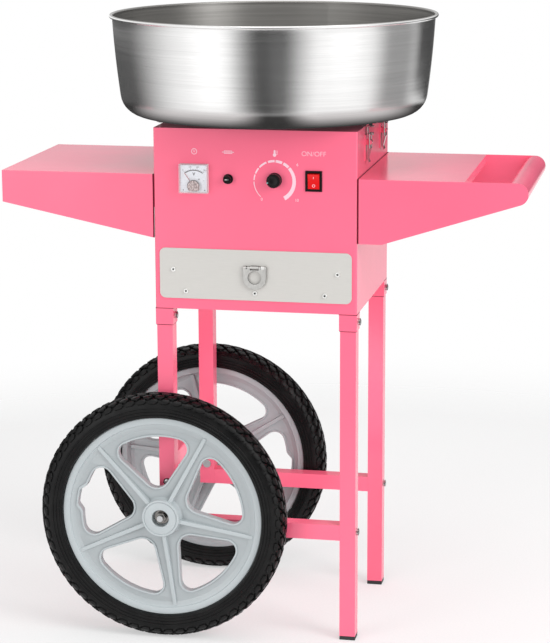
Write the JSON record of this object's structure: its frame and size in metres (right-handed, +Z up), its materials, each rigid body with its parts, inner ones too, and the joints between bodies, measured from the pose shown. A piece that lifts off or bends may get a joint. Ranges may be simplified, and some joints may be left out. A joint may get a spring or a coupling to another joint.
{
  "type": "cotton candy cart",
  "caption": "Pink steel cart that spins sugar: a cabinet with controls, drawer and side shelves under a wide brushed steel bowl, on legs and spoked wheels with a push grip.",
  "frame": {"origin": "on the floor, under the middle of the whole cart's box", "axes": "+Z up, front panel faces -Y, push grip towards +X, wheels towards -X"},
  "size_m": [0.827, 0.52, 0.9815],
  "materials": {
    "pink_paint": "glossy pink powder coat",
    "zinc_steel": "zinc plated",
    "bolt_steel": "bright plated",
    "foot_rubber": "moulded, matt",
    "bowl_steel": "brushed round the bowl",
    "latch_steel": "nickel plated",
    "meter_plastic": "white, moulded",
    "meter_face": "printed dial",
    "meter_window": "clear, polished",
    "needle_red": "painted",
    "black_plastic": "moulded, satin",
    "rocker_red": "translucent, glossy",
    "drawer_paint": "satin, pale grey",
    "pull_nickel": "satin nickel",
    "motor_paint": "dark, satin",
    "brush_block": "bakelite",
    "shaft_steel": "ground",
    "ring_brass": "turned",
    "heater_mesh": "perforated",
    "wheel_plastic": "moulded, pale blue-grey",
    "tyre_rubber": "moulded rubber"
  },
  "bodies": {
    "cart": {"cabinet": "pink_paint", "latch_bases": "pink_paint", "back_cover": "pink_paint", "bottom_plate": "pink_paint", "leg_sockets": "pink_paint", "front_right_leg": "pink_paint", "rear_right_leg": "pink_paint", "front_left_leg": "pink_paint", "rear_left_leg": "pink_paint", "front_rail": "pink_paint", "rear_rail": "pink_paint", "side_rail": "pink_paint", "left_shelf": "pink_paint", "right_shelf": "pink_paint", "grip_bar": "pink_paint", "motor_deck": "zinc_steel", "axle_blocks": "zinc_steel", "stub_axles": "zinc_steel", "axle_nuts": "zinc_steel", "drawer_runners": "zinc_steel", "frame_fasteners": "bolt_steel", "leg_feet": "foot_rubber", "motor_mounts": "foot_rubber", "bowl": "bowl_steel", "bowl_catches": "bowl_steel", "voltmeter_case": "meter_plastic", "voltmeter_dial": "meter_face", "voltmeter_lens": "meter_window", "fuse_holder": "black_plastic", "temperature_control": "black_plastic", "switch_bezel": "black_plastic", "power_inlet": "black_plastic", "motor": "motor_paint", "brush_holder": "brush_block"},
    "drawer": {"drawer_box": "zinc_steel", "drawer_front": "drawer_paint", "drawer_screws": "bolt_steel", "pull_base": "pull_nickel"},
    "pull": {"pull_ring": "pull_nickel"},
    "needle": {"voltmeter_needle": "needle_red"},
    "cap": {"fuse_cap": "black_plastic"},
    "knob": {"temperature_knob": "black_plastic"},
    "rocker": {"switch_rocker": "rocker_red"},
    "spinner": {"spinner_shaft": "shaft_steel", "slip_rings": "ring_brass", "spinner_base": "bowl_steel", "heater_band": "heater_mesh", "spinner_cap": "bowl_steel"},
    "wheel_front": {"front_wheel": "wheel_plastic", "front_tyre": "tyre_rubber"},
    "wheel_rear": {"rear_wheel": "wheel_plastic", "rear_tyre": "tyre_rubber"},
    "lever_fr": {"lever_front_right": "latch_steel"},
    "bail_fr": {"bail_front_right": "latch_steel"},
    "lever_rr": {"lever_rear_right": "latch_steel"},
    "bail_rr": {"bail_rear_right": "latch_steel"},
    "lever_fl": {"lever_front_left": "latch_steel"},
    "bail_fl": {"bail_front_left": "latch_steel"},
    "lever_rl": {"lever_rear_left": "latch_steel"},
    "bail_rl": {"bail_rear_left": "latch_steel"}
  },
  "joints": [
    {"name": "drawer_slide", "type": "slide", "parent": "cart", "child": "drawer", "axis": [0, -1, 0], "range_m": [0, 0.22]},
    {"name": "pull_hinge", "type": "hinge", "parent": "drawer", "child": "pull", "pos_m": [-0.007, -0.1567, 0.601], "axis": [-1, 0, 0], "range_deg": [0, 90]},
    {"name": "needle_swing", "type": "hinge", "parent": "cart", "child": "needle", "pos_m": [-0.102, -0.1585, 0.726], "axis": [0, 1, 0], "range_deg": [0, 70]},
    {"name": "fuse_cap_turn", "type": "hinge", "parent": "cart", "child": "cap", "pos_m": [-0.0485, -0.1585, 0.738], "axis": [0, -1, 0], "range_deg": [0, 90]},
    {"name": "temperature_turn", "type": "hinge", "parent": "cart", "child": "knob", "pos_m": [0.0245, -0.1605, 0.738], "axis": [0, 1, 0], "range_deg": [-32, 258]},
    {"name": "power_rocker", "type": "hinge", "parent": "cart", "child": "rocker", "pos_m": [0.0855, -0.1515, 0.738], "axis": [-1, 0, 0], "range_deg": [0, 16]},
    {"name": "spinner_spin", "type": "hinge", "parent": "cart", "child": "spinner", "pos_m": [-0.007, 0, 0.815], "axis": [0, 0, 1], "continuous": true},
    {"name": "front_wheel_spin", "type": "hinge", "parent": "cart", "child": "wheel_front", "pos_m": [-0.153, -0.176, 0.2], "axis": [0, 1, 0], "continuous": true},
    {"name": "rear_wheel_spin", "type": "hinge", "parent": "cart", "child": "wheel_rear", "pos_m": [-0.153, 0.176, 0.2], "axis": [0, 1, 0], "continuous": true},
    {"name": "latch_lever_front_right", "type": "hinge", "parent": "cart", "child": "lever_fr", "pos_m": [0.16, -0.075, 0.79], "axis": [0, -1, 0], "range_deg": [0, 90]},
    {"name": "latch_bail_front_right", "type": "hinge", "parent": "lever_fr", "child": "bail_fr", "pos_m": [0.16, -0.075, 0.781], "axis": [0, -1, 0], "range_deg": [-66, 1]},
    {"name": "latch_lever_rear_right", "type": "hinge", "parent": "cart", "child": "lever_rr", "pos_m": [0.16, 0.075, 0.79], "axis": [0, -1, 0], "range_deg": [0, 90]},
    {"name": "latch_bail_rear_right", "type": "hinge", "parent": "lever_rr", "child": "bail_rr", "pos_m": [0.16, 0.075, 0.781], "axis": [0, -1, 0], "range_deg": [-66, 1]},
    {"name": "latch_lever_front_left", "type": "hinge", "parent": "cart", "child": "lever_fl", "pos_m": [-0.174, -0.075, 0.79], "axis": [0, 1, 0], "range_deg": [0, 90]},
    {"name": "latch_bail_front_left", "type": "hinge", "parent": "lever_fl", "child": "bail_fl", "pos_m": [-0.174, -0.075, 0.781], "axis": [0, 1, 0], "range_deg": [-66, 1]},
    {"name": "latch_lever_rear_left", "type": "hinge", "parent": "cart", "child": "lever_rl", "pos_m": [-0.174, 0.075, 0.79], "axis": [0, 1, 0], "range_deg": [0, 90]},
    {"name": "latch_bail_rear_left", "type": "hinge", "parent": "lever_rl", "child": "bail_rl", "pos_m": [-0.174, 0.075, 0.781], "axis": [0, 1, 0], "range_deg": [-66, 1]}
  ],
  "couplings": [
    {"joint": "latch_bail_front_right", "follows": "latch_lever_front_right", "ratio": -0.72},
    {"joint": "latch_bail_rear_right", "follows": "latch_lever_rear_right", "ratio": -0.72},
    {"joint": "latch_bail_front_left", "follows": "latch_lever_front_left", "ratio": -0.72},
    {"joint": "latch_bail_rear_left", "follows": "latch_lever_rear_left", "ratio": -0.72}
  ]
}
